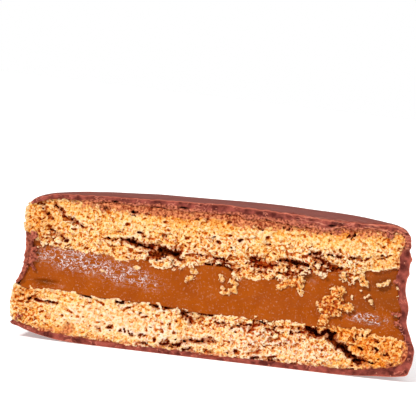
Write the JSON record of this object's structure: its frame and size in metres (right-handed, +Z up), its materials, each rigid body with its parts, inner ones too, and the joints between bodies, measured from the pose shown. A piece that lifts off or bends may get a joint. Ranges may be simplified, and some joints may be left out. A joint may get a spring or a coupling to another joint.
{
  "type": "alfajor cookie half",
  "caption": "Chocolate-coated alfajor cut in half, its cut face showing two crumbly biscuits with a thick layer of dulce de leche between them.",
  "frame": {"origin": "middle of the bounding box's base, on the flat underside", "axes": "+X along the cut, to the right when the cut face is seen from the front; +Y away from the cut face, into the round side; +Z up, through the layers"},
  "size_m": [0.0692, 0.0344, 0.0266],
  "materials": {
    "milk_chocolate": "reddish brown milk chocolate with a soft satin sheen",
    "biscuit": "open golden crumb, dry and matt, with dark pores",
    "dulce_de_leche": "sticky deep amber caramel with small wet glints"
  },
  "bodies": {
    "root": {"chocolate_coat": "milk_chocolate", "upper_biscuit": "biscuit", "dulce_de_leche": "dulce_de_leche", "lower_biscuit": "biscuit"}
  },
  "joints": []
}
